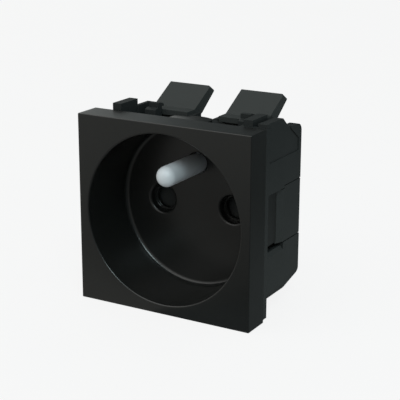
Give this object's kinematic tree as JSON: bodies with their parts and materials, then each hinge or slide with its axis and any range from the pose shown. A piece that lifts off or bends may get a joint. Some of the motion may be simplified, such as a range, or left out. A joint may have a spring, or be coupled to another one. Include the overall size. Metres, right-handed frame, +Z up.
{
  "type": "wall socket",
  "caption": "Square snap-in wall socket module with a round recess, a standing earth pin, shuttered contact holes and lever-released push-in terminals.",
  "frame": {"origin": "centre of the round recess on the front face of the cover", "axes": "+X to the right and +Z up as seen from the room, +Y into the wall"},
  "size_m": [0.045, 0.038, 0.0482],
  "materials": {
    "cover_plastic": "satin black moulded plastic with a fine matt grain",
    "frame_plastic": "black moulded plastic, slightly cooler and glossier than the cover",
    "lever_plastic": "black moulded plastic, satin",
    "nickel": "satin nickel plating on brass",
    "brass": "stamped brass strip",
    "spring_steel": "bright spring steel"
  },
  "bodies": {
    "socket": {"front_cover": "cover_plastic", "housing": "frame_plastic", "contact_carrier": "frame_plastic", "rear_cover": "frame_plastic", "shutter_spring": "spring_steel", "earth_pin": "nickel", "earth_washer": "spring_steel", "earth_strip": "brass", "earth_clamp_spring": "spring_steel", "line_contact": "brass", "line_grip_spring": "spring_steel", "line_clamp_spring": "spring_steel", "line_lever_pin": "spring_steel", "neutral_contact": "brass", "neutral_grip_spring": "spring_steel", "neutral_clamp_spring": "spring_steel", "neutral_lever_pin": "spring_steel"},
    "shutter": {"shutter": "frame_plastic"},
    "line_lever": {"line_lever": "lever_plastic"},
    "neutral_lever": {"neutral_lever": "lever_plastic"}
  },
  "joints": [
    {"name": "shutter_slide", "type": "slide", "parent": "socket", "child": "shutter", "axis": [0, 0, -1], "range_m": [0, 0.0063], "stiffness_N_per_m": 60, "springref_m": -0.004, "deforming": ["shutter_spring"]},
    {"name": "line_lever_press", "type": "hinge", "parent": "socket", "child": "line_lever", "pos_m": [0.00985, 0.0208, 0.0191], "axis": [-1, 0, 0], "range_deg": [0, 13], "stiffness_Nm_per_rad": 0.03, "springref_deg": -8.59, "deforming": ["line_clamp_spring"]},
    {"name": "neutral_lever_press", "type": "hinge", "parent": "socket", "child": "neutral_lever", "pos_m": [-0.00985, 0.0208, 0.0191], "axis": [-1, 0, 0], "range_deg": [0, 13], "stiffness_Nm_per_rad": 0.03, "springref_deg": -8.59, "deforming": ["neutral_clamp_spring"]}
  ]
}
